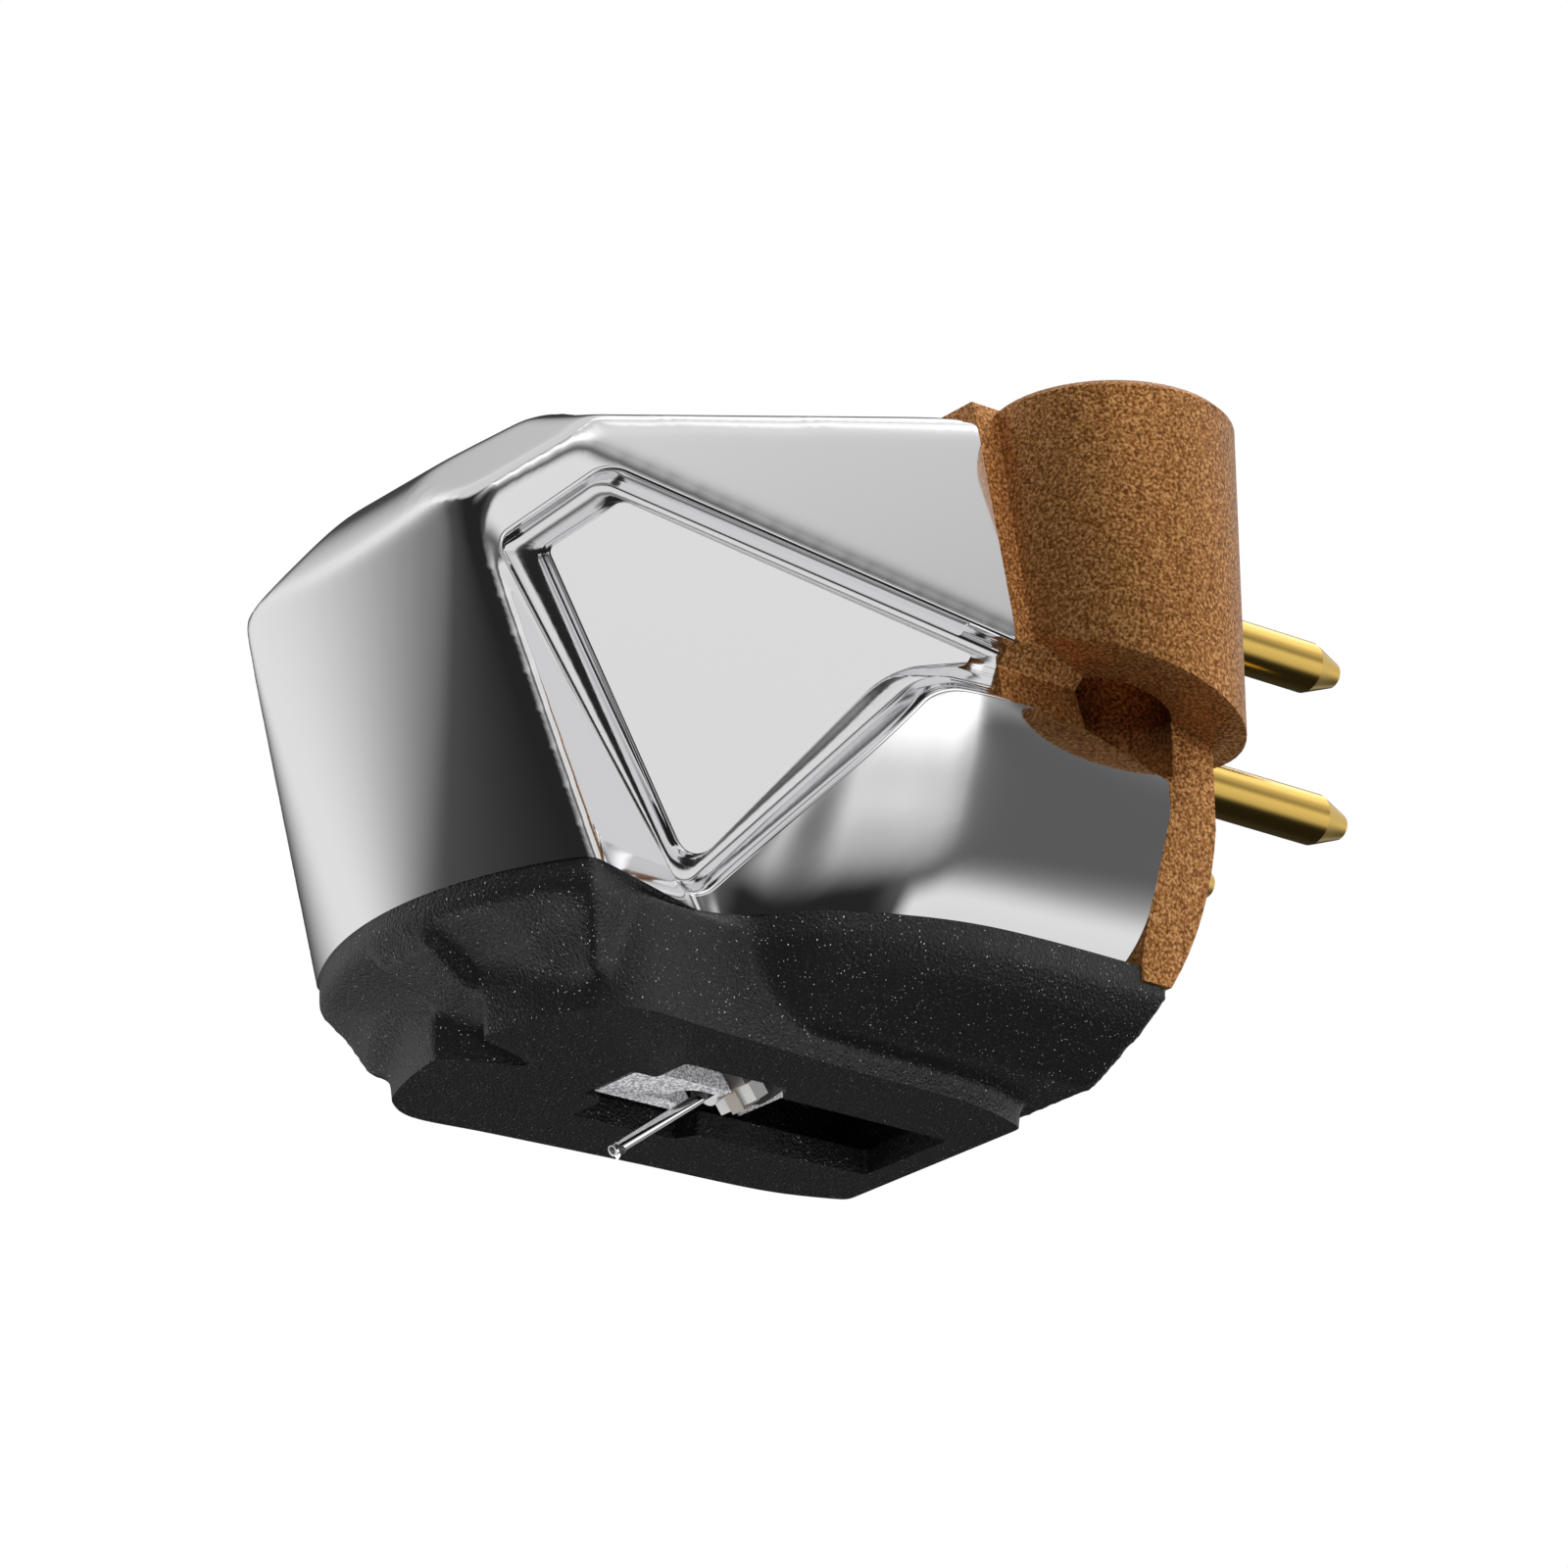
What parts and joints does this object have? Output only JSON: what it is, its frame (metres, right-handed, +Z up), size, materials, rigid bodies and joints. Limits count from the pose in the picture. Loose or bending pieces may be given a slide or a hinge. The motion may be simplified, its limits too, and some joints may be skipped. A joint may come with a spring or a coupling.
{
  "type": "turntable stylus cartridge",
  "caption": "Moving-coil phono cartridge with a faceted mirror-polished body, sand-blasted copper mounting frame, black bottom cover, gold contact pins and a sprung cantilever.",
  "frame": {"origin": "midway between the two mounting hole axes, on the top face that meets the headshell", "axes": "+Z up out of the mounting face, +Y to the rear along the contact pins, -Y to the nose and stylus, X across"},
  "size_m": [0.0186, 0.0276, 0.0179],
  "materials": {
    "polished_steel": "mirror polished, brushed in the groove",
    "blasted_copper": "coarse sand-blasted and anodised orange-copper",
    "black_cover": "fine-grained matte black with small sparkles",
    "gold": "gold plated, turned",
    "insulator": "plain",
    "magnet": "nickel plated, dull",
    "pole_iron": "plated iron with fine specks",
    "bracket_metal": "milled",
    "screw_steel": "plain",
    "damper_rubber": "matte",
    "armature_iron": "light grey",
    "copper_wire": "enamelled copper",
    "cantilever_metal": "drawn tube, polished",
    "diamond": "clear, polished"
  },
  "bodies": {
    "cartridge_body": {"polished_shell": "polished_steel", "rear_frame": "blasted_copper", "base_cover": "black_cover", "contact_pin_upper_left": "gold", "contact_pin_upper_right": "gold", "contact_pin_lower_left": "gold", "contact_pin_lower_right": "gold", "pin_bushes": "insulator", "magnet": "magnet", "front_pole": "pole_iron", "rear_pole": "pole_iron", "generator_bracket": "bracket_metal", "bracket_screws": "screw_steel", "holder_clamp_screw": "screw_steel", "suspension_holder": "pole_iron", "tension_wire": "screw_steel", "lead_wires": "copper_wire"},
    "suspension": {"damper": "damper_rubber"},
    "stylus_assembly": {"armature": "armature_iron", "coil_left": "copper_wire", "coil_right": "copper_wire", "cantilever": "cantilever_metal", "cantilever_collar": "cantilever_metal", "stylus": "diamond"}
  },
  "joints": [
    {"name": "lateral_swing", "type": "hinge", "parent": "cartridge_body", "child": "suspension", "pos_m": [0, -0.0057, -0.01496], "axis": [0, -0.5835, 0.8121], "range_deg": [-3, 3], "stiffness_Nm_per_rad": 0.0022},
    {"name": "vertical_swing", "type": "hinge", "parent": "suspension", "child": "stylus_assembly", "pos_m": [0, -0.0057, -0.01496], "axis": [1, 0, 0], "range_deg": [-3, 3], "stiffness_Nm_per_rad": 0.0022}
  ]
}
